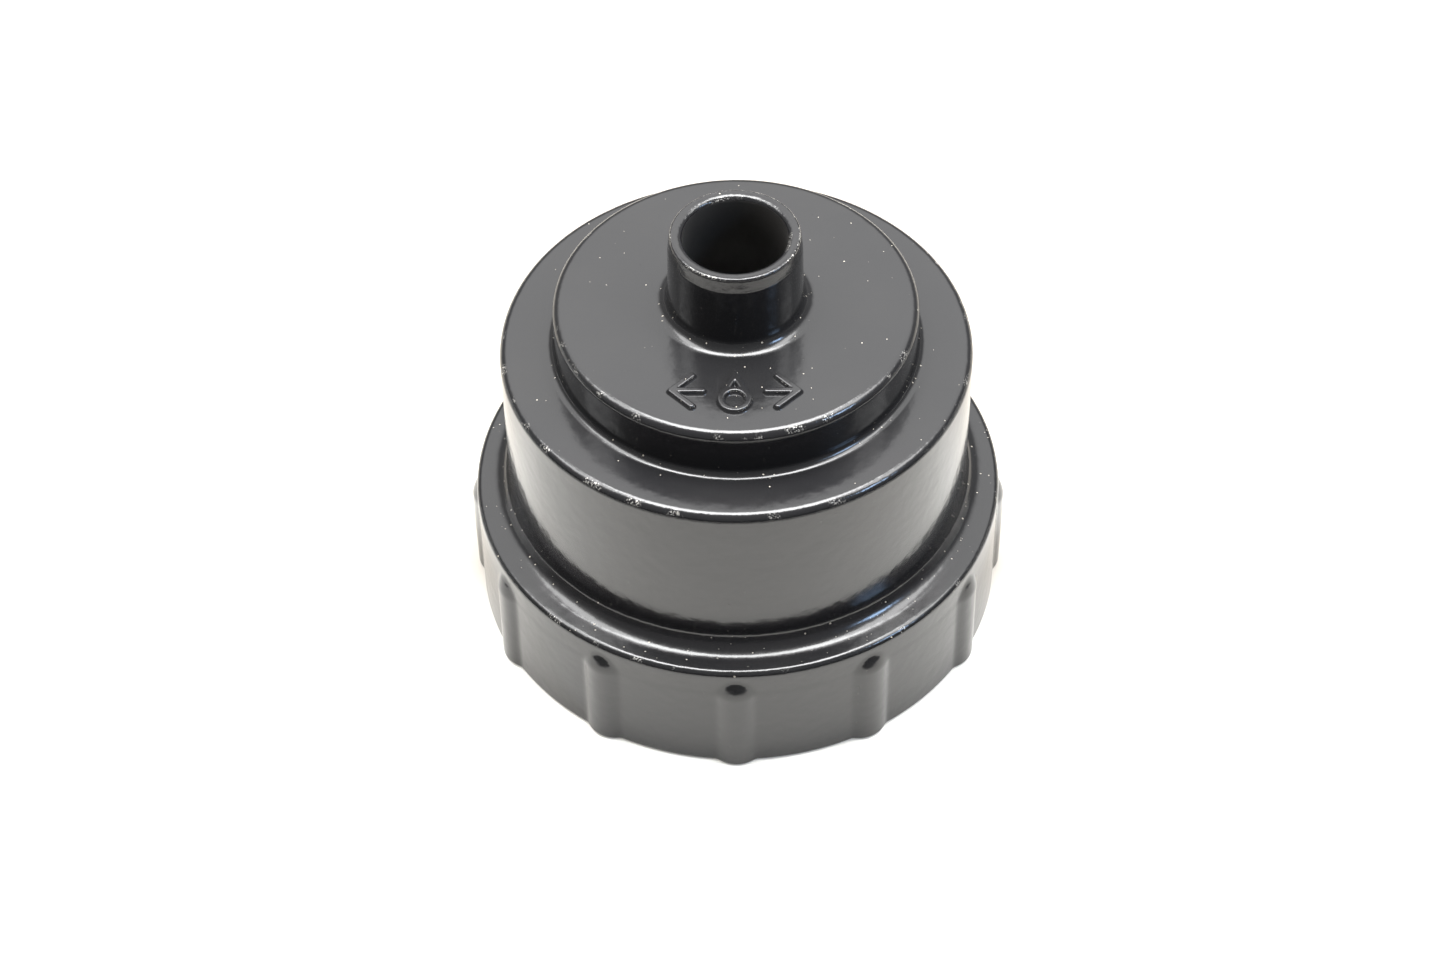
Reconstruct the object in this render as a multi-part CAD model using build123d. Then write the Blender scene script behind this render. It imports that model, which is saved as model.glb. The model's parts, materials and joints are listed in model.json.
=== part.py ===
"""Cup wrench for a cartridge oil filter housing, with a steel drive insert.

The casting is a stepped cup: a skirt with a fluted socket, a body that clears the
housing's dome, a crown that carries the drive boss, and a hub whose round bore guides
an extension bar into the square. The origin is the centre of the open rim, +Z runs up
through the hub, and rib 0 and the raised mark face -Y. Sizes are millimetres.
"""
from build123d import *
import os
from math import acos, atan2, cos, degrees, radians, sin, sqrt, tan

# Socket: grips the fluted filter housing
SOCKET_RADIUS = 33.0        # lands between the flutes
SOCKET_DEPTH = 16.5
SOCKET_MOUTH_CHAMFER = 0.8
SOCKET_FLOOR_BLEND = 0.5
FLUTE_COUNT = 12
FLUTE_WIDTH = 4.0
FLUTE_DEPTH = 1.4
FLUTE_BLEND = 0.7

# Skirt and its outside ribs, one behind each flute
SKIRT_WALL = 3.85
SKIRT_ROOF = 3.0
RIB_RADIUS = 4.2            # roundness of a rib's back
RIB_HEIGHT = 1.0            # how far a rib stands out of the skirt
RIB_CAP_DROP = 2.0          # from the skirt's top edge down to a rib's tip

# Body: clears the dome of the filter housing
LEDGE_WIDTH = 4.85
LEDGE_FALL = 0.5            # the ledge slopes down by this much to the skirt's edge
BODY_HEIGHT = 25.75
BODY_WALL = 3.7
SHOULDER_ROOF = 3.8

# Crown: carries the drive boss
SHOULDER_WIDTH = 7.45
CROWN_HEIGHT = 7.4
CROWN_WALL = 3.8
CROWN_ROOF = 3.8

# Hub: round guide bore for the extension bar
HUB_HEIGHT = 12.35
HUB_WALL = 2.0              # just below the tapered nose
HUB_DRAFT_ANGLE = 1.2
HUB_NOSE_LENGTH = 2.2       # the nose tapers over this length, by this much on the radius
HUB_NOSE_TAPER = 0.22
PILOT_CLEARANCE = 0.15      # round the corners of the square drive

# Drive insert and the boss that holds it
DRIVE_SQUARE = 9.55         # across the flats of the socket for a 3/8 inch drive
DRIVE_CORNER = 0.4
DRIVE_LEAD_IN = 0.6
INSERT_LENGTH = 11.0
INSERT_WALL = 1.75          # from the square's corners to the hexagon's flats
INSERT_END_CHAMFER = 0.5
INSERT_FIT = 0.01           # per side, pressed into the boss and staked
DETENT_GROOVE_WIDTH = 3.0
DETENT_GROOVE_DEPTH = 0.8
BOSS_WALL = 3.7

# Casting details
DRAFT_ANGLE = 0.2
RIM_ROUND = 0.6
SKIRT_EDGE = 0.98
LEDGE_COVE = 2.8
SHOULDER_EDGE = 1.22
CROWN_ROOT = 1.1
CROWN_EDGE = 1.27
HUB_ROOT = 1.75
HUB_NOSE_BLEND = 6.0
HUB_EDGE = 0.5
HUB_INNER_EDGE = 0.5
INSIDE_BLEND = 2.0
INSIDE_EDGE = 0.8

# Raised mark on the crown: an outlined oil drop between two turning arrows
MARK_HEIGHT = 0.6
MARK_SINK = 0.3             # how deep the mark's solid starts inside the crown
MARK_BAND_SHARE = 0.62      # depth of the mark, of the flat band between hub and crown edge
MARK_PLACE_SHARE = 0.48     # its middle, across the same band
STROKE_SHARE = 0.14         # these four are of the mark's depth
DROP_BULB_SHARE = 0.3
ARROW_TIP_SHARE = 1.06
ARROW_LENGTH_SHARE = 0.52
ARROW_HEAD_SHARE = 0.66     # of the arrow's length, along and across

# Radii
skirt_radius = SOCKET_RADIUS + SKIRT_WALL
body_radius = skirt_radius - LEDGE_WIDTH
crown_radius = body_radius - SHOULDER_WIDTH
drive_corner_radius = DRIVE_SQUARE / sqrt(2)
pilot_radius = drive_corner_radius + PILOT_CLEARANCE
hub_radius = pilot_radius + HUB_WALL
hub_foot_radius = hub_radius + (HUB_HEIGHT - HUB_NOSE_LENGTH) * tan(radians(HUB_DRAFT_ANGLE))
insert_apothem = drive_corner_radius + INSERT_WALL
pocket_apothem = insert_apothem + INSERT_FIT
boss_radius = pocket_apothem / cos(radians(30)) + BOSS_WALL

# Heights
skirt_top = SOCKET_DEPTH + SKIRT_ROOF
shoulder_top = skirt_top + BODY_HEIGHT
crown_top = shoulder_top + CROWN_HEIGHT
hub_top = crown_top + HUB_HEIGHT
body_ceiling = shoulder_top - SHOULDER_ROOF
crown_ceiling = crown_top - CROWN_ROOF
insert_top = crown_ceiling
insert_bottom = insert_top - INSERT_LENGTH


def drafted(radius, rise):
    """Radius at the foot of a wall that has this radius at its top."""
    return radius + rise * tan(radians(DRAFT_ANGLE))


def turned(corners):
    """Solid of revolution about Z from (radius, height, corner blend) in order."""
    points = [(radius, height) for radius, height, blend in corners]
    blends = [blend for radius, height, blend in corners]
    outline = FilletPolyline(*points, radius=blends, close=True)
    return revolve(Plane.XZ * make_face(outline), Axis.Z)


def outer_shape():
    """Stepped outside of the casting, without ribs or mark."""
    return turned([
        (0, 0, 0),
        (drafted(skirt_radius, skirt_top - LEDGE_FALL), 0, RIM_ROUND),
        (skirt_radius, skirt_top - LEDGE_FALL, SKIRT_EDGE),
        (drafted(body_radius, BODY_HEIGHT), skirt_top, LEDGE_COVE),
        (body_radius, shoulder_top, SHOULDER_EDGE),
        (drafted(crown_radius, CROWN_HEIGHT), shoulder_top, CROWN_ROOT),
        (crown_radius, crown_top, CROWN_EDGE),
        (hub_foot_radius, crown_top, HUB_ROOT),
        (hub_radius, hub_top - HUB_NOSE_LENGTH, HUB_NOSE_BLEND),
        (hub_radius - HUB_NOSE_TAPER, hub_top, HUB_EDGE),
        (0, hub_top, 0),
    ])


def rib():
    """One outside rib: a round back with a ball tip, standing out towards -Y."""
    centre = skirt_radius + RIB_HEIGHT - RIB_RADIUS
    reach = sqrt(RIB_RADIUS**2 - (RIB_RADIUS - RIB_HEIGHT) ** 2)
    ball_height = skirt_top - RIB_CAP_DROP - reach
    back = extrude(Circle(RIB_RADIUS), ball_height) + Pos(0, 0, ball_height) * Sphere(RIB_RADIUS)
    return Pos(0, -centre, 0) * back


def flute():
    """Cutter for one inside flute, facing -Y, open at the mouth."""
    depth = SOCKET_RADIUS + FLUTE_DEPTH
    block = Pos(0, -depth / 2, SOCKET_DEPTH / 2) * Box(FLUTE_WIDTH, depth, SOCKET_DEPTH)
    outer_corners = block.edges().filter_by(Axis.Z).group_by(Axis.Y)[0]
    return fillet(outer_corners, FLUTE_BLEND)


def around(shape, count):
    """The shape repeated at equal turns about Z, starting with the shape itself."""
    return [Rot(0, 0, 360 * turn / count) * shape for turn in range(count)]


def cavity():
    """Cutter for the open inside: socket, dome space, and the ring round the boss."""
    socket_to_ceiling = body_ceiling - SOCKET_DEPTH
    dome_radius = body_radius - BODY_WALL
    ring_radius = crown_radius - CROWN_WALL
    return turned([
        (0, 0, 0),
        (SOCKET_RADIUS + SOCKET_MOUTH_CHAMFER, 0, 0),
        (SOCKET_RADIUS, SOCKET_MOUTH_CHAMFER, 0),
        (SOCKET_RADIUS, SOCKET_DEPTH, SOCKET_FLOOR_BLEND),
        (drafted(dome_radius, socket_to_ceiling), SOCKET_DEPTH, INSIDE_EDGE),
        (dome_radius, body_ceiling, INSIDE_BLEND),
        (drafted(ring_radius, crown_ceiling - body_ceiling), body_ceiling, INSIDE_EDGE),
        (ring_radius, crown_ceiling, INSIDE_BLEND),
        (boss_radius, crown_ceiling, INSIDE_BLEND),
        (boss_radius, insert_bottom, INSIDE_EDGE),
        (0, insert_bottom, 0),
    ])


def hexagon_prism(apothem, bottom, top):
    """Upright hexagon with two flats facing +X and -X."""
    outline = RegularPolygon(apothem, 6, major_radius=False, rotation=30)
    return Pos(0, 0, bottom) * extrude(outline, top - bottom)


def drop_face(bulb_radius, tip_distance):
    """Flat drop with its bulb centred on the origin and its tip towards +Y."""
    half_spread = acos(bulb_radius / tip_distance)
    touch_x = bulb_radius * sin(half_spread)
    touch_y = bulb_radius * cos(half_spread)
    flanks = make_face(Polyline((0, tip_distance), (touch_x, touch_y), (-touch_x, touch_y), close=True))
    return Circle(bulb_radius) + flanks


def drop_outline(length, stroke):
    """Outlined drop of an even stroke, centred on its length."""
    bulb_radius = DROP_BULB_SHARE * length
    tip_distance = length - bulb_radius
    shrink = 1 - stroke / bulb_radius
    ring = drop_face(bulb_radius, tip_distance) - drop_face(shrink * bulb_radius, shrink * tip_distance)
    return Pos(0, bulb_radius - length / 2) * ring


def bar(start, end, stroke):
    """Flat bar with round ends from one point to another."""
    run = Vector(*end) - Vector(*start)
    middle = (Vector(*end) + Vector(*start)) / 2
    turn = degrees(atan2(run.Y, run.X))
    return Pos(middle.X, middle.Y) * Rot(0, 0, turn) * SlotCenterToCenter(run.length, stroke)


def arrow(length, stroke):
    """Flat arrow of three bars pointing to -X, with its tip at the origin."""
    head = ARROW_HEAD_SHARE * length
    return [
        bar((length, 0), (0, 0), stroke),
        bar((head, head), (0, 0), stroke),
        bar((head, -head), (0, 0), stroke),
    ]


def raised_mark():
    """Oil drop with an arrow to each side, on the crown in front of the hub."""
    band_inside = hub_radius + HUB_ROOT
    band_outside = crown_radius - CROWN_EDGE
    band = band_outside - band_inside
    depth = MARK_BAND_SHARE * band
    stroke = STROKE_SHARE * depth
    bars = arrow(ARROW_LENGTH_SHARE * depth, stroke)
    left_arrow = [Pos(-ARROW_TIP_SHARE * depth, 0) * item for item in bars]
    right_arrow = [Rot(0, 0, 180) * item for item in left_arrow]
    symbols = Sketch() + [drop_outline(depth, stroke), *left_arrow, *right_arrow]
    place = Pos(0, -(band_inside + MARK_PLACE_SHARE * band), crown_top - MARK_SINK)
    return place * extrude(symbols, MARK_SINK + MARK_HEIGHT)


def cup_casting():
    """The black-coated aluminium casting, one solid."""
    pilot_bore = Pos(0, 0, insert_bottom) * extrude(Circle(pilot_radius), hub_top - insert_bottom)
    solid = outer_shape() + around(rib(), FLUTE_COUNT)
    solid = solid + raised_mark()
    solid = solid - cavity() - around(flute(), FLUTE_COUNT)
    solid = solid - pilot_bore - hexagon_prism(pocket_apothem, insert_bottom, insert_top)
    bore_mouth = solid.edges().filter_by(GeomType.CIRCLE).group_by(Axis.Z)[-1].sort_by(SortBy.RADIUS)[0]
    return fillet(bore_mouth, HUB_INNER_EDGE)


def drive_insert():
    """Steel bush with the square socket and its detent groove."""
    bush = chamfer(
        hexagon_prism(insert_apothem, insert_bottom, insert_top).edges().group_by(Axis.Z)[0],
        INSERT_END_CHAMFER,
    )
    square = fillet(Rectangle(DRIVE_SQUARE, DRIVE_SQUARE).vertices(), DRIVE_CORNER)
    hole = Pos(0, 0, insert_bottom) * extrude(square, INSERT_LENGTH)
    wide_square = offset(square, DRIVE_LEAD_IN)
    lead_ins = [
        loft([Pos(0, 0, insert_bottom) * wide_square, Pos(0, 0, insert_bottom + DRIVE_LEAD_IN) * square]),
        loft([Pos(0, 0, insert_top - DRIVE_LEAD_IN) * square, Pos(0, 0, insert_top) * wide_square]),
    ]
    groove_radius = DRIVE_SQUARE / 2 + DETENT_GROOVE_DEPTH
    groove_height = insert_top - INSERT_LENGTH / 2 - DETENT_GROOVE_WIDTH / 2
    groove = Pos(0, 0, groove_height) * extrude(Circle(groove_radius), DETENT_GROOVE_WIDTH)
    return bush - hole - lead_ins - groove


NODES = {
    "cup_casting": cup_casting,
    "drive_insert": drive_insert,
}

os.makedirs("parts", exist_ok=True)
for node, build in NODES.items():
    export_step(build(), f"parts/{node}.step")
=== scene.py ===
import json
from math import cos, pi, radians, sin, tan
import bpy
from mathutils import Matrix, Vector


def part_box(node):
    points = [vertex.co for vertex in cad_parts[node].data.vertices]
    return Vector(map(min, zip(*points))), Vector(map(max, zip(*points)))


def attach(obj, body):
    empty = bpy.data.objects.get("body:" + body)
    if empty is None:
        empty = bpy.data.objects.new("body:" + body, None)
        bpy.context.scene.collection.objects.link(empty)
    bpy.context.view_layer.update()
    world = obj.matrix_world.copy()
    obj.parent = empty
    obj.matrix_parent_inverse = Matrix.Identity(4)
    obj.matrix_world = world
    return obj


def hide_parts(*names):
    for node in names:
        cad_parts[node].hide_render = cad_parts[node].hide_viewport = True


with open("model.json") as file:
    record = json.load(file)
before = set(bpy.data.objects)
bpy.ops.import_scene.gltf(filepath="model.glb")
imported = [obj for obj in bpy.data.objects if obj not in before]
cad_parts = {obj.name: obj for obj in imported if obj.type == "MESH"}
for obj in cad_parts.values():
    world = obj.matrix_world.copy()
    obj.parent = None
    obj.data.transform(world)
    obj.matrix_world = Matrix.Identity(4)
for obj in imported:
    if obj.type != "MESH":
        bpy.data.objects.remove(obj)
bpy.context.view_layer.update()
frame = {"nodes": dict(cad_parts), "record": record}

from types import SimpleNamespace

import bmesh
import bpy
import numpy as np
from mathutils import Quaternion, Vector

MM = 0.001

# ---------------------------------------------------------------- sizes
# From the frame
mounts = {mount["name"]: mount for mount in frame["record"]["mounts"]}
SOCKET_RADIUS = mounts["filter_socket"]["dims"]["r_mm"] * MM
PILOT_RADIUS = mounts["hub_bore"]["dims"]["r_mm"] * MM
HUB_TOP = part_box("cup_casting")[1].z
insert_low, insert_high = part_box("drive_insert")
INSERT_BOTTOM = insert_low.z
INSERT_TOP = insert_high.z
INSERT_FIT = 0.01 * MM
POCKET_APOTHEM = insert_high.x + INSERT_FIT

# Outside of the casting
SKIRT_RADIUS = 36.85 * MM
BODY_RADIUS = 32.0 * MM
CROWN_RADIUS = 24.55 * MM
HUB_RADIUS = 8.9 * MM
HUB_NOSE_RADIUS = 8.62 * MM     # where the tapered nose meets the hub's top
HUB_NOSE_LENGTH = 2.2 * MM
HUB_DRAFT = tan(radians(1.2))
SKIRT_TOP = 19.5 * MM
LEDGE_FALL = 0.5 * MM
SHOULDER_TOP = 45.25 * MM
CROWN_TOP = 52.65 * MM
DRAFT = tan(radians(0.2))

# Roundness of the outside corners, from the rim up to the bore
RIM_ROUND = 0.6 * MM
SKIRT_EDGE = 0.98 * MM
LEDGE_COVE = 2.8 * MM
SHOULDER_EDGE = 1.22 * MM
CROWN_ROOT = 1.1 * MM
CROWN_EDGE = 1.27 * MM
HUB_ROOT = 1.75 * MM
HUB_NOSE_BLEND = 6 * MM
HUB_EDGE = 0.5 * MM
BORE_EDGE = 0.95 * MM

# Inside of the casting
SOCKET_DEPTH = 16.5 * MM
MOUTH_CHAMFER = 0.8 * MM
DOME_RADIUS = 28.3 * MM
DOME_CEILING = 41.45 * MM
RING_RADIUS = 20.75 * MM
RING_CEILING = 48.85 * MM
BOSS_RADIUS = 13.53 * MM
FLUTE_WIDTH = 4.0 * MM
FLUTE_DEPTH = 1.4 * MM
INSIDE_BLEND = 2.0 * MM
INSIDE_EDGE = 0.8 * MM
SOCKET_EDGE = 0.4 * MM
MOUTH_EDGE = 0.3 * MM
LIP_EDGE = 0.2 * MM
LIP_WIDTH = 2.2 * MM            # from the socket's wall to the flat of the rim

# Outside ribs, one behind each flute
RIB_COUNT = 12
RIB_ROUNDNESS = 4.2 * MM
RIB_HEIGHT = 0.93 * MM
RIB_TIP = 17.1 * MM
RIB_CAP = 2.35 * MM             # length over which the rib sinks back into the wall
RIB_BLEND = 0.55 * MM
CAP_ROWS = 12                   # rows of points across a rib's cap
CAP_ROW_STEP = 0.45 * MM
CAP_ROW_TOP = 0.7 * MM          # the highest of them, above the rib's tip

# Raised mark on the crown
MARK_DEPTH = 7.8 * MM
MARK_MIDDLE = 16.7 * MM         # from the axis, towards -Y
MARK_HEIGHT = 0.58 * MM
MARK_STROKE = 1.09 * MM
MARK_SINK = 0.3 * MM
MARK_FLANK = 0.26 * MM          # how far the mark's side runs out at its foot
MARK_FOOT_DROP = 0.12 * MM      # how far the foot of the flank dips into the crown
MARK_CELL = 0.09 * MM
DROP_BULB_SHARE = 0.3           # these are of the mark's depth
ARROW_TIP_SHARE = 1.06
ARROW_LENGTH_SHARE = 0.52
MARK_HALF_WIDE_SHARE = 1.22     # half of the patch that the mark is cut from
MARK_HALF_DEEP_SHARE = 0.62
ARROW_HEAD_SHARE = 0.66         # of the arrow's length, along and across

# Colours
COAT_BLACK = (0.0092, 0.0092, 0.0099, 1)
DUST_FILM_AND_PAINTED_BORE_LIGHT = (0.55, 0.50, 0.42, 1)
DUST_GRAIN = (0.60, 0.55, 0.46, 1)
BARE_ALUMINIUM = (0.62, 0.60, 0.56, 1)
OXIDE_DARK = (0.035, 0.034, 0.036, 1)
OXIDE_PALE = (0.085, 0.08, 0.075, 1)
BARE_STEEL = (0.38, 0.37, 0.35, 1)
FLOOR_PALE = (0.60, 0.587, 0.555, 1)
FLOOR_PAINTED_SHADE = (0.33, 0.305, 0.27, 1)
CARD_DARK = (0.08, 0.08, 0.08, 1)
CARD_PALE = (0.7, 0.7, 0.7, 1)


# ---------------------------------------------------------------- node arithmetic
class Amount:
    """A number inside a node tree, so that a rule reads as ordinary arithmetic."""

    def __init__(self, tree, socket):
        self.tree = tree
        self.socket = socket

    def math(self, operation, *others):
        node = self.tree.nodes.new("ShaderNodeMath")
        node.operation = operation
        for socket, item in zip(node.inputs, (self, *others)):
            feed(self.tree, item, socket)
        return Amount(self.tree, node.outputs[0])

    def __add__(self, other):
        return self.math("ADD", other)

    def __sub__(self, other):
        return self.math("SUBTRACT", other)

    def __rsub__(self, other):
        return (self * -1) + other

    def __mul__(self, other):
        return self.math("MULTIPLY", other)

    def __truediv__(self, other):
        return self.math("DIVIDE", other)

    __radd__ = __add__
    __rmul__ = __mul__


def feed(tree, item, socket):
    """Give a socket a number, a colour or another node's output."""
    if isinstance(item, Amount):
        item = item.socket
    if isinstance(item, bpy.types.NodeSocket):
        tree.links.new(item, socket)
    else:
        socket.default_value = item


def add_node(tree, kind, outputs=0, settings=None, **inputs):
    """Add a node with its settings and inputs, and return one of its outputs by name or number."""
    node = tree.nodes.new(kind)
    for name, value in (settings or {}).items():
        setattr(node, name, value)
    for name, item in inputs.items():
        feed(tree, item, node.inputs[name.replace("_", " ")])
    return Amount(tree, node.outputs[outputs])


def ramp(amount, start, end, low=0.0, high=1.0):
    """Smooth step of an amount from low at start to high at end."""
    node = amount.tree.nodes.new("ShaderNodeMapRange")
    node.interpolation_type = "SMOOTHSTEP"
    names = ("Value", "From Min", "From Max", "To Min", "To Max")
    for name, item in zip(names, (amount, start, end, low, high)):
        feed(amount.tree, item, node.inputs[name])
    return Amount(amount.tree, node.outputs["Result"])


# ---------------------------------------------------------------- outline of the casting
def arc_corner(before, corner, after, blend, steps):
    """Points of a corner rounded to a radius, with a support point on each side of the arc."""
    corner = Vector(corner)
    back = (Vector(before) - corner).normalized()
    ahead = (Vector(after) - corner).normalized()
    half = back.angle(ahead) / 2
    reach = blend / tan(half)
    centre = corner + (back + ahead).normalized() * blend / sin(half)
    start = (corner + back * reach - centre).normalized()
    end = (corner + ahead * reach - centre).normalized()
    support = 0.1 * min(blend, reach)
    points = [corner + back * (reach + support)]
    for step in range(steps + 1):
        points.append(centre + start.slerp(end, step / steps) * blend)
    points.append(corner + ahead * (reach + support))
    return points


def outline_points(corners):
    """Closed outline in (radius, height) with how exposed and how sheltered each point is."""
    points = []
    for number, (radius, height, blend, steps) in enumerate(corners):
        before = corners[number - 1][:2]
        after = corners[(number + 1) % len(corners)][:2]
        if blend == 0:
            points.append((radius, height, 0.0, 0.0))
            continue
        back = Vector(before) - Vector((radius, height))
        ahead = Vector(after) - Vector((radius, height))
        exposed = back.x * ahead.y - back.y * ahead.x < 0
        sharpness = min(1, (pi - back.angle(ahead)) / radians(60))
        arc = arc_corner(before, (radius, height), after, blend, steps)
        for place, point in enumerate(arc):
            middle = sharpness * sin(pi * min(max((place - 1) / steps, 0), 1))
            points.append((point.x, point.y, middle if exposed else 0.0, 0.0 if exposed else middle))
    return points


def casting_corners():
    """Outline as (radius, height, blend, steps) for each corner, up the outside and down the inside."""
    skirt_foot = SKIRT_RADIUS + SKIRT_TOP * DRAFT
    hub_foot = HUB_RADIUS + (HUB_TOP - HUB_NOSE_LENGTH - CROWN_TOP) * HUB_DRAFT
    body_foot = BODY_RADIUS + (SHOULDER_TOP - SKIRT_TOP) * DRAFT
    cap_top = RIB_TIP + CAP_ROW_TOP
    cap_rows = [(SKIRT_RADIUS, cap_top - row * CAP_ROW_STEP, 0, 0) for row in reversed(range(CAP_ROWS))]
    return [
        (skirt_foot, 0, RIM_ROUND, 5),
        (skirt_foot, 5 * MM, 0, 0),
        *cap_rows,
        (SKIRT_RADIUS, SKIRT_TOP - LEDGE_FALL, SKIRT_EDGE, 8),
        (body_foot, SKIRT_TOP, LEDGE_COVE, 12),
        (BODY_RADIUS, SHOULDER_TOP, SHOULDER_EDGE, 9),
        (CROWN_RADIUS, SHOULDER_TOP, CROWN_ROOT, 8),
        (CROWN_RADIUS, CROWN_TOP, CROWN_EDGE, 9),
        (hub_foot, CROWN_TOP, HUB_ROOT, 9),
        (HUB_RADIUS, HUB_TOP - HUB_NOSE_LENGTH, HUB_NOSE_BLEND, 5),
        (HUB_NOSE_RADIUS, HUB_TOP, HUB_EDGE, 8),
        (PILOT_RADIUS, HUB_TOP, BORE_EDGE, 8),
        (PILOT_RADIUS, INSERT_TOP, 0, 0),
        (POCKET_APOTHEM, INSERT_TOP, 0, 0),
        (POCKET_APOTHEM, INSERT_BOTTOM, 0, 0),
        (BOSS_RADIUS, INSERT_BOTTOM, INSIDE_EDGE, 5),
        (BOSS_RADIUS, RING_CEILING, INSIDE_BLEND, 6),
        (RING_RADIUS, RING_CEILING, INSIDE_BLEND, 6),
        (RING_RADIUS, DOME_CEILING, INSIDE_EDGE, 5),
        (DOME_RADIUS, DOME_CEILING, INSIDE_BLEND, 6),
        (DOME_RADIUS, SOCKET_DEPTH, INSIDE_EDGE, 5),
        (SOCKET_RADIUS, SOCKET_DEPTH, SOCKET_EDGE, 3),
        (SOCKET_RADIUS, MOUTH_CHAMFER, MOUTH_EDGE, 2),
        (SOCKET_RADIUS + MOUTH_CHAMFER, 0, LIP_EDGE, 2),
        (SOCKET_RADIUS + LIP_WIDTH, 0, 0, 0),
    ]


def outline_object():
    """The outline as a ring of points in the XZ plane, with its wear stored on the points."""
    points = outline_points(casting_corners())
    mesh = bpy.data.meshes.new("casting_outline")
    ring = [(number, (number + 1) % len(points)) for number in range(len(points))]
    mesh.from_pydata([(radius, 0, height) for radius, height, exposed, sheltered in points], ring, [])
    for name, column in (("exposed", 2), ("sheltered", 3)):
        layer = mesh.attributes.new(name, "FLOAT", "POINT")
        layer.data.foreach_set("value", [point[column] for point in points])
    outline = bpy.data.objects.new("casting_outline", mesh)
    bpy.context.scene.collection.objects.link(outline)
    return outline


# ---------------------------------------------------------------- casting, turned from its outline by rule
def new_geometry_tree(name, amounts):
    """Geometry tree with a geometry socket each way and one named number input for each amount."""
    tree = bpy.data.node_groups.new(name, "GeometryNodeTree")
    tree.interface.new_socket("Geometry", in_out="INPUT", socket_type="NodeSocketGeometry")
    for title, (kind, value) in amounts.items():
        socket = tree.interface.new_socket(title, in_out="INPUT", socket_type=kind)
        socket.default_value = value
    tree.interface.new_socket("Geometry", in_out="OUTPUT", socket_type="NodeSocketGeometry")
    source = tree.nodes.new("NodeGroupInput")
    sink = tree.nodes.new("NodeGroupOutput")
    given = {title: Amount(tree, source.outputs[title]) for title in ("Geometry", *amounts)}
    return tree, given, sink


def rib_rise(sideways, height, given):
    """How far the skirt's wall stands out at a place beside, on or above a rib."""
    roundness = given["Rib roundness"]
    rise = given["Rib height"]
    cap = given["Rib cap"]
    above = (height - (given["Rib tip"] - cap)) / cap
    above = above.math("SMOOTH_MAX", 0, 0.2)
    sunk = (above * 0.8 + above.math("POWER", 4) * 0.2) * rise
    back = (roundness * roundness - sideways * sideways).math("MAXIMUM", 0).math("SQRT") - (roundness - rise)
    back = back.math("SMOOTH_MAX", 0, given["Rib blend"])
    return (back - sunk).math("SMOOTH_MAX", 0, 0.15 * MM)


def hexagon_radius(angle, apothem):
    """Distance from the axis to the side of a hexagon with corners at multiples of 60 degrees."""
    sixth = radians(60)
    from_flat = angle.math("FLOORED_MODULO", sixth) - sixth / 2
    return apothem / from_flat.math("COSINE")


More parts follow.
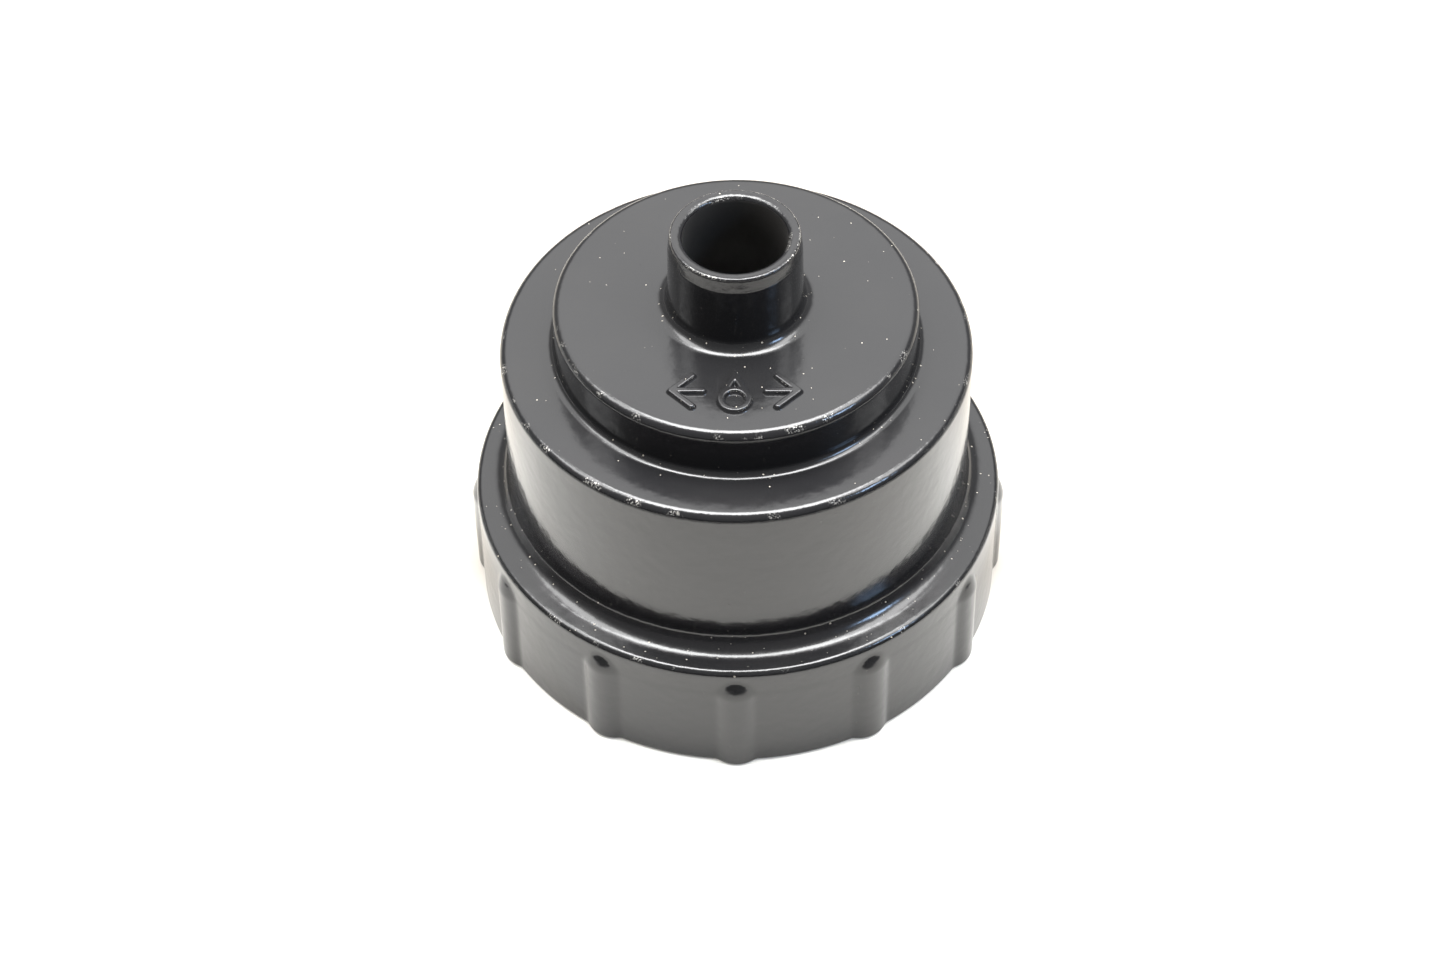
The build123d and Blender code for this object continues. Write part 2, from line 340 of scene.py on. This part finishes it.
def casting_tree(material):
    """Turn an outline about Z, raise the ribs, cut the flutes and square off the insert's pocket."""
    number, length = "NodeSocketInt", "NodeSocketFloat"
    tree, given, sink = new_geometry_tree("turned_casting", {
        "Rib count": (number, RIB_COUNT),
        "Columns per rib": (number, 42),
        "Column crowding": (length, 0.42),
        "Skirt radius": (length, SKIRT_RADIUS),
        "Rib roundness": (length, RIB_ROUNDNESS),
        "Rib height": (length, RIB_HEIGHT),
        "Rib tip": (length, RIB_TIP),
        "Rib cap": (length, RIB_CAP),
        "Rib blend": (length, RIB_BLEND),
        "Socket radius": (length, SOCKET_RADIUS),
        "Socket depth": (length, SOCKET_DEPTH),
        "Flute width": (length, FLUTE_WIDTH),
        "Flute depth": (length, FLUTE_DEPTH),
        "Pocket apothem": (length, POCKET_APOTHEM),
        "Pocket top": (length, INSERT_TOP),
        "Pilot radius": (length, PILOT_RADIUS),
    })
    outline = given["Geometry"]
    size = tree.nodes.new("GeometryNodeAttributeDomainSize")
    feed(tree, outline, size.inputs["Geometry"])
    rows = Amount(tree, size.outputs["Point Count"])
    columns = given["Rib count"] * given["Columns per rib"]
    sheet = add_node(tree, "GeometryNodeMeshGrid", "Mesh", Size_X=columns, Size_Y=rows,
                     Vertices_X=columns + 1, Vertices_Y=rows + 1)

    # each point of the sheet knows its column round the axis and its row along the outline
    place = tree.nodes.new("ShaderNodeSeparateXYZ")
    feed(tree, add_node(tree, "GeometryNodeInputPosition"), place.inputs[0])
    column = (Amount(tree, place.outputs["X"]) + columns / 2).math("ROUND")
    row = (Amount(tree, place.outputs["Y"]) + rows / 2).math("ROUND").math("MODULO", rows)

    def from_outline(value, kind="FLOAT"):
        return add_node(tree, "GeometryNodeSampleIndex", "Value", {"data_type": kind, "domain": "POINT"},
                        Geometry=outline, Value=value, Index=row)

    spot = tree.nodes.new("ShaderNodeSeparateXYZ")
    feed(tree, from_outline(add_node(tree, "GeometryNodeInputPosition"), "FLOAT_VECTOR"), spot.inputs[0])
    radius = Amount(tree, spot.outputs["X"])
    height = Amount(tree, spot.outputs["Z"])

    # columns crowd together at each rib
    sector = (column / given["Columns per rib"]).math("ROUND")
    share = (column / given["Columns per rib"] - sector) * 2
    crowding = given["Column crowding"]
    spread = share * crowding + share * share * share * (1 - crowding)
    offset = spread * pi / given["Rib count"]
    angle = sector * 2 * pi / given["Rib count"] + offset

    # ribs on the outside of the skirt, fading out before the socket's wall
    on_skirt = ramp(radius, given["Skirt radius"] - 2.0 * MM, given["Skirt radius"] - 0.7 * MM)
    rise = rib_rise(offset * given["Skirt radius"], height, given)
    radius = radius + rise * on_skirt

    # flutes in the socket
    beside = (offset * given["Socket radius"]).math("ABSOLUTE") - given["Flute width"] / 2
    floor = given["Socket radius"] + given["Flute depth"] * ramp(beside, 0.16 * MM, -0.2 * MM)
    in_socket = height.math("LESS_THAN", given["Socket depth"] - 0.001 * MM)
    in_socket = in_socket * radius.math("LESS_THAN", given["Socket radius"] + 2.5 * MM)
    cut = radius.math("SMOOTH_MAX", floor, 0.12 * MM)
    radius = radius + (cut - radius) * in_socket * ramp(beside, 0.2 * MM, 0.1 * MM)

    # hexagonal pocket for the insert
    in_pocket = height.math("LESS_THAN", given["Pocket top"] + 0.01 * MM)
    in_pocket = in_pocket * radius.math("GREATER_THAN", given["Pilot radius"] + 1 * MM)
    in_pocket = in_pocket * radius.math("LESS_THAN", given["Pocket apothem"] + 0.01 * MM)
    radius = radius + (hexagon_radius(angle, given["Pocket apothem"]) - radius) * in_pocket

    turned = add_node(tree, "ShaderNodeCombineXYZ", X=radius * angle.math("SINE"),
                      Y=radius * angle.math("COSINE") * -1, Z=height)
    shape = sheet
    for name in ("exposed", "sheltered"):
        wear = add_node(tree, "GeometryNodeInputNamedAttribute", "Attribute", {"data_type": "FLOAT"},
                        Name=name)
        shape = add_node(tree, "GeometryNodeStoreNamedAttribute", "Geometry",
                         {"data_type": "FLOAT", "domain": "POINT"},
                         Geometry=shape, Name=name, Value=from_outline(wear))
    shape = add_node(tree, "GeometryNodeSetPosition", "Geometry", Geometry=shape, Position=turned)
    shape = add_node(tree, "GeometryNodeMergeByDistance", "Geometry", Geometry=shape, Distance=0.001 * MM)
    shape = add_node(tree, "GeometryNodeSetShadeSmooth", "Geometry", Geometry=shape)
    shape = add_node(tree, "GeometryNodeRealizeInstances", "Geometry", Geometry=shape)
    shape = add_node(tree, "GeometryNodeSetMaterial", "Geometry", Geometry=shape, Material=material)
    feed(tree, shape, sink.inputs["Geometry"])
    return tree


def grown(source, tree, name):
    """Run a tree on an object, keep the result as a plain mesh object, and drop the source."""
    modifier = source.modifiers.new("rule", "NODES")
    modifier.node_group = tree
    evaluated = source.evaluated_get(bpy.context.evaluated_depsgraph_get())
    mesh = bpy.data.meshes.new_from_object(evaluated)
    source.modifiers.remove(modifier)
    mesh.name = name
    piece = bpy.data.objects.new(name, mesh)
    bpy.context.scene.collection.objects.link(piece)
    bpy.data.objects.remove(source)
    return piece


def face_outwards(piece):
    """Turn every face of a closed piece outwards."""
    shape = bmesh.new()
    shape.from_mesh(piece.data)
    bmesh.ops.recalc_face_normals(shape, faces=shape.faces)
    shape.to_mesh(piece.data)
    shape.free()


# ---------------------------------------------------------------- raised mark, an oil drop between two arrows
def distance_to_loop(x, y, loop):
    """Signed distance from each place to a closed polygon, negative inside."""
    nearest = np.full(x.shape, np.inf)
    inside = np.zeros(x.shape, dtype=bool)
    for (ax, ay), (bx, by) in zip(loop, loop[1:] + loop[:1]):
        run_x, run_y = bx - ax, by - ay
        along = ((x - ax) * run_x + (y - ay) * run_y) / (run_x**2 + run_y**2)
        along = np.clip(along, 0, 1)
        nearest = np.minimum(nearest, np.hypot(x - ax - along * run_x, y - ay - along * run_y))
        crosses = (ay > y) != (by > y)
        inside ^= crosses & (x < ax + run_x * (y - ay) / (run_y if run_y else 1))
    return np.where(inside, -nearest, nearest)


def drop_distance(x, y, length):
    """Signed distance to an outlined oil drop whose tip points to +Y, centred on its length."""
    bulb = DROP_BULB_SHARE * length
    to_tip = length - bulb
    turn = np.arccos(bulb / to_tip)
    touch_x, touch_y = bulb * sin(turn), bulb * cos(turn)
    y = y - (bulb - length / 2)
    flanks = distance_to_loop(x, y, [(0, to_tip), (touch_x, touch_y), (-touch_x, touch_y)])
    whole = np.minimum(np.hypot(x, y) - bulb, flanks)
    return np.abs(whole + MARK_STROKE / 2) - MARK_STROKE / 2


def bar_distance(x, y, start, end):
    """Signed distance to a round-ended bar from one point to another."""
    run_x, run_y = end[0] - start[0], end[1] - start[1]
    along = np.clip(((x - start[0]) * run_x + (y - start[1]) * run_y) / (run_x**2 + run_y**2), 0, 1)
    return np.hypot(x - start[0] - along * run_x, y - start[1] - along * run_y) - MARK_STROKE / 2


def arrow_distance(x, y, tip, length):
    """Signed distance to the arrows that point away from the drop, with their tips this far out."""
    x = tip - np.abs(x)
    head = ARROW_HEAD_SHARE * length
    bars = [bar_distance(x, y, (0, 0), end) for end in ((length, 0), (head, head), (head, -head))]
    return np.minimum.reduce(bars)


def raised_mark(material):
    """The mark as one closed skin that rises from just below the crown, with soft edges."""
    half_wide = MARK_HALF_WIDE_SHARE * MARK_DEPTH
    half_deep = MARK_HALF_DEEP_SHARE * MARK_DEPTH
    across = np.arange(-half_wide, half_wide + MARK_CELL, MARK_CELL)
    along = np.arange(-half_deep, half_deep + MARK_CELL, MARK_CELL)
    x, y = np.meshgrid(across, along, indexing="ij")
    arrows = arrow_distance(x, y, ARROW_TIP_SHARE * MARK_DEPTH, ARROW_LENGTH_SHARE * MARK_DEPTH)
    beside = np.minimum(drop_distance(x, y, MARK_DEPTH), arrows)
    climb = np.clip((MARK_FLANK * 0.55 - beside) / (MARK_FLANK * 1.6), 0, 1)
    shoulder = climb * climb * (3 - 2 * climb)
    foot = np.clip((beside - MARK_FLANK * 0.45) / MARK_FLANK, 0, 1)
    height = CROWN_TOP + MARK_HEIGHT * shoulder - MARK_FOOT_DROP * foot
    exposed = np.clip(4 * shoulder * (1 - shoulder), 0, 1) * (climb > 0.5)
    sheltered = np.clip(1 - np.abs(beside - MARK_FLANK * 0.4) / MARK_FLANK, 0, 1)

    shape = bmesh.new()
    wear = [shape.verts.layers.float.new(name) for name in ("exposed", "sheltered")]
    skin = {}

    def corner(i, j):
        if (i, j) not in skin:
            place = (x[i, j], y[i, j] - MARK_MIDDLE, height[i, j])
            skin[i, j] = shape.verts.new(place)
            skin[i, j][wear[0]] = exposed[i, j]
            skin[i, j][wear[1]] = sheltered[i, j]
        return skin[i, j]

    kept = beside < MARK_FLANK * 1.5
    whole_cells = kept[:-1, :-1] & kept[1:, :-1] & kept[:-1, 1:] & kept[1:, 1:]
    for i, j in zip(*np.nonzero(whole_cells)):
        shape.faces.new((corner(i, j), corner(i + 1, j), corner(i + 1, j + 1), corner(i, j + 1)))
    # a copy of the skin, flattened inside the crown, closes it from below
    below = bmesh.ops.extrude_face_region(shape, geom=shape.faces[:], use_keep_orig=True)["geom"]
    for vertex in (item for item in below if isinstance(item, bmesh.types.BMVert)):
        vertex.co.z = CROWN_TOP - MARK_SINK
    bmesh.ops.recalc_face_normals(shape, faces=shape.faces)
    for face in shape.faces:
        face.smooth = face.normal.z > 0.01
    mesh = bpy.data.meshes.new("raised_mark")
    shape.to_mesh(mesh)
    shape.free()
    mesh.materials.append(material)
    mark = bpy.data.objects.new("raised_mark", mesh)
    bpy.context.scene.collection.objects.link(mark)
    return mark


# ---------------------------------------------------------------- finishes
def new_material(name):
    """A material, its tree and its surface shader."""
    material = bpy.data.materials.new(name)
    material.use_nodes = True
    tree = material.node_tree
    surface = tree.nodes["Principled BSDF"]
    return material, tree, surface


def object_place(tree):
    """A point of the piece: its place, radius from the axis, distance towards +Y, and height."""
    coordinate = tree.nodes.new("ShaderNodeTexCoord")
    parts = tree.nodes.new("ShaderNodeSeparateXYZ")
    tree.links.new(coordinate.outputs["Object"], parts.inputs[0])
    across, ahead, height = (Amount(tree, parts.outputs[axis]) for axis in "XYZ")
    radius = (across * across + ahead * ahead).math("SQRT")
    place = Amount(tree, coordinate.outputs["Object"])
    return SimpleNamespace(place=place, radius=radius, ahead=ahead, height=height)


def noise(tree, place, size, detail=2.0, roughness=0.5):
    """Noise from 0 to 1 whose features are about this size."""
    return add_node(tree, "ShaderNodeTexNoise", "Fac", Vector=place, Scale=1 / size, Detail=detail,
                    Roughness=roughness)


def stretched(tree, place, factors, turn=(0, 0, 0)):
    """The place with each axis scaled, so that a pattern runs along one of them."""
    return add_node(tree, "ShaderNodeMapping", "Vector", Vector=place, Scale=factors, Rotation=turn)


def spots(tree, place, spacing, radius, share):
    """Round spots: one in each cell of a random lattice, kept for a share of the cells."""
    cell = tree.nodes.new("ShaderNodeTexVoronoi")
    feed(tree, place, cell.inputs["Vector"])
    cell.inputs["Scale"].default_value = 1 / spacing
    picker = tree.nodes.new("ShaderNodeSeparateColor")
    tree.links.new(cell.outputs["Color"], picker.inputs[0])
    chosen = Amount(tree, picker.outputs["Red"]).math("LESS_THAN", share)
    growth = Amount(tree, picker.outputs["Green"]) * 0.7 + 0.3
    distance = Amount(tree, cell.outputs["Distance"]) * spacing
    return ramp(distance / growth, radius, radius * 0.25) * chosen


def mixed(tree, share, first, second):
    """Colour between two colours. A Mix node's colour sockets are 6, 7 and output 2."""
    node = tree.nodes.new("ShaderNodeMix")
    node.data_type = "RGBA"
    for socket, item in zip((node.inputs[0], node.inputs[6], node.inputs[7]), (share, first, second)):
        feed(tree, item, socket)
    return Amount(tree, node.outputs[2])


def stored(tree, name):
    """A number stored on the mesh's points."""
    return add_node(tree, "ShaderNodeAttribute", "Fac", {"attribute_name": name})


def black_coating():
    """High gloss black coat over cast aluminium: slight ripple, thin at the edges, dusty in the corners, with
    painted light lifting the inside of the bore.
    """
    material, tree, surface = new_material("black_gloss_coating")
    point = object_place(tree)
    place, radius, height = point.place, point.radius, point.height
    facing = tree.nodes.new("ShaderNodeSeparateXYZ")
    tree.links.new(tree.nodes.new("ShaderNodeNewGeometry").outputs["Normal"], facing.inputs[0])
    upward = ramp(Amount(tree, facing.outputs["Z"]), 0.35, 0.9)
    exposed, sheltered = stored(tree, "exposed"), stored(tree, "sheltered")
    inside_bore = ramp(radius, PILOT_RADIUS + 0.12 * MM, PILOT_RADIUS + 0.02 * MM)

    # the coat's ripple, pinholes, grit under the coat and wiping marks
    ripple = noise(tree, place, 1.5 * MM) * (0.024 * MM) + noise(tree, place, 6 * MM) * (0.05 * MM)
    at_rim = ramp(height, HUB_TOP - 4 * MM, HUB_TOP - 2 * MM)
    runs = 0.045 * MM + at_rim * (0.075 * MM)
    ripple = ripple + exposed * noise(tree, place, 1.1 * MM, 3, 0.6) * runs
    grit = spots(tree, place, 2.6 * MM, 0.26 * MM, 0.10)
    turned_place = stretched(tree, place, (1.1, 1.1, 1.1), (0.4, 0.2, 0))
    pinholes = spots(tree, turned_place, 3.4 * MM, 0.16 * MM, 0.10)
    along_wipe = stretched(tree, place, (1, 0.04, 1), (0, 0, 0.5))
    wiping = ramp(noise(tree, along_wipe, 0.35 * MM, 1), 0.70, 0.74)
    cross_wipe = stretched(tree, place, (0.04, 1, 1), (0, 0, 0.9))
    cross_wiping = ramp(noise(tree, cross_wipe, 0.3 * MM, 1), 0.72, 0.76)
    scratches = (wiping + cross_wiping) * ramp(noise(tree, place, 9 * MM), 0.5, 0.62)
    relief = ripple + grit * (0.018 * MM) - pinholes * (0.02 * MM) - scratches * (0.0006 * MM)

    # bare metal shows where the coat ran thin along the edges
    at_bore = ramp(radius, PILOT_RADIUS + 1.2 * MM, PILOT_RADIUS + 0.8 * MM)
    on_skirt = ramp(height, 24 * MM, 22 * MM)
    wear_level = 0.56 - at_rim * 0.13 + at_bore * 0.2 + on_skirt * 0.05
    patches = ramp(noise(tree, place, 3.5 * MM, 1), wear_level, wear_level + 0.12)
    thin = ramp(exposed, 0.6, 0.95) * patches
    thin = thin * ramp(noise(tree, place, 0.24 * MM, 3, 0.7), 0.53, 0.63)
    thin = (thin + grit * ramp(noise(tree, place, 7 * MM), 0.6, 0.7) * 0.5).math("MINIMUM", 1)

    # dust: a faint film and loose specks on upward faces, more in the corners
    film = upward * (0.35 + ramp(noise(tree, place, 14 * MM, 3), 0.35, 0.7)) + sheltered * 0.7
    specks = spots(tree, place, 1.1 * MM, 0.14 * MM, 0.24) * (upward * 0.85 + 0.15)
    ledge = ramp(height, 22 * MM, 20.5 * MM) * ramp(height, 18 * MM, 18.6 * MM)
    lodged = (sheltered + ledge * ramp(noise(tree, place, 8 * MM), 0.45, 0.6)).math("MINIMUM", 1)
    crumb_place = stretched(tree, place, (1, 1.6, 1), (0.2, 0.5, 0.8))
    crumbs = spots(tree, crumb_place, 0.9 * MM, 0.22 * MM, 0.36) * lodged
    dust = (specks * 0.8 + crumbs * 0.8).math("MINIMUM", 1)

    # painted light: inside the bore the black is lightened towards the dust colour, standing in for light
    # that reaches into it; elsewhere this mix is a real faint dust film
    colour = mixed(tree, film * 0.003 + inside_bore * 0.03, COAT_BLACK, DUST_FILM_AND_PAINTED_BORE_LIGHT)
    colour = mixed(tree, dust, colour, DUST_GRAIN)
    colour = mixed(tree, thin, colour, BARE_ALUMINIUM)
    feed(tree, colour, surface.inputs["Base Color"])
    feed(tree, thin * 0.9, surface.inputs["Metallic"])
    gloss = 0.12 + noise(tree, place, 11 * MM, 3) * 0.05 + film * 0.02 + scratches * 0.05
    gloss = gloss + dust * 0.5 + thin * 0.22 + inside_bore * 0.5
    feed(tree, gloss, surface.inputs["Roughness"])
    bump = add_node(tree, "ShaderNodeBump", "Normal", Height=relief, Distance=1.0, Strength=1.0)
    feed(tree, bump, surface.inputs["Normal"])
    return material


def insert_steel():
    """Broached steel, oil-blacked: fine upright tool marks, cloudy oxide and a film of oil."""
    material, tree, surface = new_material("blacked_steel")
    place = object_place(tree).place
    broaching = noise(tree, stretched(tree, place, (1, 1, 0.03)), 0.22 * MM, 2)
    cloud = noise(tree, place, 3 * MM, 4, 0.6)
    rubbed = ramp(noise(tree, place, 1.1 * MM, 3, 0.7), 0.56, 0.68) * ramp(broaching, 0.4, 0.7)
    colour = mixed(tree, cloud, OXIDE_DARK, OXIDE_PALE)
    colour = mixed(tree, rubbed * 0.45, colour, BARE_STEEL)
    feed(tree, colour, surface.inputs["Base Color"])
    feed(tree, 0.32 + cloud * 0.22 - rubbed * 0.08, surface.inputs["Roughness"])
    surface.inputs["Metallic"].default_value = 1.0
    relief = broaching * (0.008 * MM) + cloud * (0.01 * MM)
    bump = add_node(tree, "ShaderNodeBump", "Normal", Height=relief, Distance=1.0, Strength=1.0)
    feed(tree, bump, surface.inputs["Normal"])
    return material


# ---------------------------------------------------------------- stage
def pale_floor():
    """Wide floor with painted shade: dimmer behind the piece and a painted contact shadow at its foot, where
    it would light the gloss from below.
    """
    size = 3.0
    mesh = bpy.data.meshes.new("floor")
    corners = [(-size, -size, 0), (size, -size, 0), (size, size, 0), (-size, size, 0)]
    mesh.from_pydata(corners, [], [(0, 1, 2, 3)])
    floor = bpy.data.objects.new("floor", mesh)
    bpy.context.scene.collection.objects.link(floor)
    material, tree, surface = new_material("pale_floor")
    point = object_place(tree)
    # painted shade: a painted contact shadow round the piece's foot on its back half, and the floor painted
    # darker behind the piece
    painted_contact_shadow = ramp(point.radius, 0.047, 0.040) * ramp(point.ahead, -0.02, 0.0)
    dim = ramp(point.ahead, 0.0, 0.035).math("MAXIMUM", painted_contact_shadow)
    feed(tree, mixed(tree, dim, FLOOR_PALE, FLOOR_PAINTED_SHADE), surface.inputs["Base Color"])
    surface.inputs["Roughness"].default_value = 0.9
    surface.inputs["Specular IOR Level"].default_value = 0.0
    surface.inputs["Emission Color"].default_value = (1, 0.98, 0.93, 1)
    surface.inputs["Emission Strength"].default_value = 0.25
    mesh.materials.append(material)


def studio_world():
    """Soft light from all round, brightest high up and behind, and from below the horizon."""
    world = bpy.data.worlds.new("studio")
    bpy.context.scene.world = world
    world.use_nodes = True
    tree = world.node_tree
    direction = tree.nodes.new("ShaderNodeSeparateXYZ")
    coordinate = tree.nodes.new("ShaderNodeTexCoord")
    tree.links.new(coordinate.outputs["Generated"], direction.inputs[0])
    ahead = Amount(tree, direction.outputs["Y"])
    height = Amount(tree, direction.outputs["Z"])
    glow = ramp(height, 0.42, 0.70) * ramp(ahead, -0.45, 0.1)
    below = ramp(height, 0.0, -0.1)
    strength = 0.35 + glow * 2.7 + below * 2.2
    background = tree.nodes["Background"]
    background.inputs["Color"].default_value = (1, 1, 1, 1)
    feed(tree, strength, background.inputs["Strength"])


def studio_lights():
    """Two softboxes overhead and a small cool light at the front right."""
    centre = (0, 0, 0.04)
    area_light("overhead_softbox", (0, 0.12, 0.9), centre, (0.6, 0.5), 14, (1, 1, 1))
    area_light("wide_softbox", (0, 0.06, 0.95), centre, (1.9, 0.4), 20, (1, 1, 1))
    area_light("cool_side_light", (0.6, -0.3, 0.5), centre, (0.16, 0.14), 1.8, (0.46, 0.67, 1))


def dark_card(name, distance, top):
    """Low dark card curved round the front, which gives the gloss its dark lower edge."""
    half_turn, strips = radians(110), 22
    turns = [half_turn * (2 * strip / strips - 1) for strip in range(strips + 1)]
    rows = [(distance * sin(turn), -distance * cos(turn), height)
            for height in (0.0005, top) for turn in turns]
    faces = [(strip, strip + 1, strip + strips + 2, strip + strips + 1) for strip in range(strips)]
    mesh = bpy.data.meshes.new(name)
    mesh.from_pydata(rows, [], faces)
    card = bpy.data.objects.new(name, mesh)
    bpy.context.scene.collection.objects.link(card)
    material, tree, surface = new_material(name)
    fading = ramp(object_place(tree).ahead, -0.04, 0.03)
    feed(tree, mixed(tree, fading, CARD_DARK, CARD_PALE), surface.inputs["Base Color"])
    surface.inputs["Roughness"].default_value = 1.0
    surface.inputs["Specular IOR Level"].default_value = 0.0
    mesh.materials.append(material)
    card.visible_camera = False


def area_light(name, place, aim, size, power, colour):
    """Rectangular light that faces a point and is not seen itself."""
    light = bpy.data.lights.new(name, "AREA")
    light.shape = "RECTANGLE"
    light.size, light.size_y = size
    light.energy = power
    light.color = colour
    lamp = bpy.data.objects.new(name, light)
    bpy.context.scene.collection.objects.link(lamp)
    lamp.location = place
    lamp.rotation_mode = "QUATERNION"
    lamp.rotation_quaternion = (Vector(place) - Vector(aim)).to_track_quat("Z", "Y")
    lamp.visible_camera = False


def studio_camera():
    """Long lens from above and in front."""
    azimuth, elevation, roll = radians(1.3), radians(48.21), radians(-0.93)
    aim = Vector((-2.16, -0.05, 16.6)) * MM
    distance = 440.2 * MM
    back = Vector((sin(azimuth) * cos(elevation), -cos(azimuth) * cos(elevation), sin(elevation)))
    data = bpy.data.cameras.new("studio_camera")
    data.lens = 77.23
    data.sensor_width = 36
    data.clip_start = 0.01
    view = bpy.data.objects.new("studio_camera", data)
    bpy.context.scene.collection.objects.link(view)
    view.location = aim + back * distance
    view.rotation_mode = "QUATERNION"
    view.rotation_quaternion = back.to_track_quat("Z", "Y") @ Quaternion((0, 0, 1), roll)
    bpy.context.scene.camera = view


# ---------------------------------------------------------------- build
coating = black_coating()
casting = grown(outline_object(), casting_tree(coating), "coated_casting")
face_outwards(casting)
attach(casting, "root")
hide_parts("cup_casting")

mark = raised_mark(coating)
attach(mark, "root")

insert = frame["nodes"]["drive_insert"]
insert.data.materials.clear()
insert.data.materials.append(insert_steel())

pale_floor()
dark_card("near_dark_card", 0.086, 0.010)
dark_card("far_dark_card", 0.125, 0.050)
studio_world()
studio_lights()
studio_camera()
bpy.context.scene.view_settings.view_transform = "Standard"
